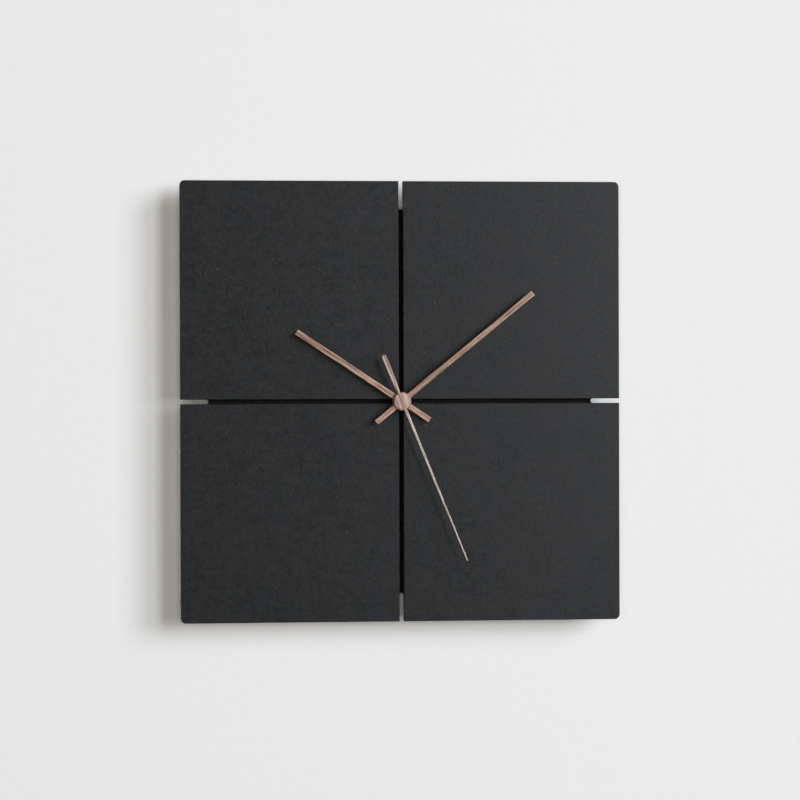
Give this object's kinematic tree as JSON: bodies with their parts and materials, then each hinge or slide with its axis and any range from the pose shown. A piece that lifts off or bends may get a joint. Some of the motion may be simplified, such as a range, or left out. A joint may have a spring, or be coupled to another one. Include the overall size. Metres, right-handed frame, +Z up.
{
  "type": "wall clock",
  "caption": "Square wall clock: black panel routed with a cross and edge slots, three brushed copper-tone hands, and a battery quartz movement on a hanger bracket.",
  "frame": {"origin": "the point on the wall where the nail that carries the clock meets the slot of the hanger bracket; the hands' axis is 38 mm below it", "axes": "+Z up the wall, +X to the right as seen from the front, +Y into the wall, so the clock is on the -Y side of the wall plane y = 0"},
  "size_m": [0.3, 0.0376, 0.3],
  "materials": {
    "black_board": "matt black sprayed board with a fine fleck",
    "copper_metal": "rose-copper tone, brushed lengthwise, satin",
    "black_plastic": "fine moulded texture",
    "white_plastic": "smooth moulded",
    "natural_plastic": "undyed moulded",
    "red_plastic": "smooth moulded",
    "black_rubber": "matt",
    "brass": "turned",
    "zinc_steel": "zinc plated",
    "spring_steel": "bright plated",
    "soft_iron": "stamped, bare",
    "magnet": "sintered ferrite",
    "copper_wire": "enamelled wire, wound",
    "circuit_green": "solder resist",
    "black_epoxy": "cast drop",
    "ceramic": "bare ceramic",
    "battery_sleeve": "printed sleeve, satin"
  },
  "bodies": {
    "root": {"face_panel": "black_board", "wall_bumper_top_left": "black_rubber", "wall_bumper_top_right": "black_rubber", "wall_bumper_bottom_left": "black_rubber", "wall_bumper_bottom_right": "black_rubber", "bumper_screw_top_left": "zinc_steel", "bumper_screw_top_right": "zinc_steel", "bumper_screw_bottom_left": "zinc_steel", "bumper_screw_bottom_right": "zinc_steel", "hanger_bracket": "zinc_steel", "rubber_gasket": "black_rubber", "threaded_bushing": "brass", "brass_washer": "brass", "ring_nut": "brass", "front_case": "black_plastic", "back_cover": "black_plastic", "cover_screw_1": "zinc_steel", "cover_screw_2": "zinc_steel", "cover_screw_3": "zinc_steel", "cover_screw_4": "zinc_steel", "middle_plate": "natural_plastic", "stator_yoke": "soft_iron", "coil_bobbin": "natural_plastic", "coil_winding": "copper_wire", "coil_core": "soft_iron", "circuit_board": "circuit_green", "driver_chip": "black_epoxy", "quartz_crystal": "zinc_steel", "capacitor": "ceramic", "aa_battery": "battery_sleeve", "positive_contact": "spring_steel", "negative_contact": "spring_steel"},
    "second": {"second_wheel": "white_plastic", "second_arbor": "spring_steel", "second_hand": "copper_metal", "second_collet": "brass"},
    "minute": {"centre_wheel": "brass", "cannon_pinion": "brass", "minute_hand": "copper_metal", "minute_collet": "brass"},
    "hour": {"hour_wheel": "natural_plastic", "hour_hand": "copper_metal", "hour_collet": "brass"},
    "third": {"third_wheel": "white_plastic"},
    "intermediate": {"intermediate_wheel": "red_plastic"},
    "rotor": {"rotor_magnet": "magnet", "rotor_pinion": "white_plastic"},
    "setting": {"minute_wheel": "white_plastic", "setting_knob": "white_plastic"}
  },
  "joints": [
    {"name": "second_hand_turn", "type": "hinge", "parent": "root", "child": "second", "pos_m": [0, -0.0165, -0.038], "axis": [0, 1, 0], "continuous": true},
    {"name": "minute_hand_turn", "type": "hinge", "parent": "root", "child": "minute", "pos_m": [0, -0.0165, -0.038], "axis": [0, 1, 0], "continuous": true},
    {"name": "hour_hand_turn", "type": "hinge", "parent": "root", "child": "hour", "pos_m": [0, -0.0165, -0.038], "axis": [0, 1, 0], "continuous": true},
    {"name": "third_wheel_turn", "type": "hinge", "parent": "root", "child": "third", "pos_m": [0.0054, -0.0165, -0.02865], "axis": [0, 1, 0], "continuous": true},
    {"name": "intermediate_wheel_turn", "type": "hinge", "parent": "root", "child": "intermediate", "pos_m": [-0.00125, -0.0165, -0.03091], "axis": [0, 1, 0], "continuous": true},
    {"name": "rotor_turn", "type": "hinge", "parent": "root", "child": "rotor", "pos_m": [-0.00003, -0.0165, -0.02402], "axis": [0, 1, 0], "continuous": true},
    {"name": "setting_knob_turn", "type": "hinge", "parent": "root", "child": "setting", "pos_m": [-0.01113, -0.0165, -0.03502], "axis": [0, 1, 0], "continuous": true}
  ],
  "couplings": [
    {"joint": "minute_hand_turn", "follows": "second_hand_turn", "ratio": 0.016667},
    {"joint": "hour_hand_turn", "follows": "second_hand_turn", "ratio": 0.0013889},
    {"joint": "third_wheel_turn", "follows": "second_hand_turn", "ratio": -0.13333},
    {"joint": "intermediate_wheel_turn", "follows": "second_hand_turn", "ratio": -5},
    {"joint": "rotor_turn", "follows": "second_hand_turn", "ratio": 30},
    {"joint": "setting_knob_turn", "follows": "second_hand_turn", "ratio": -0.0055556}
  ]
}
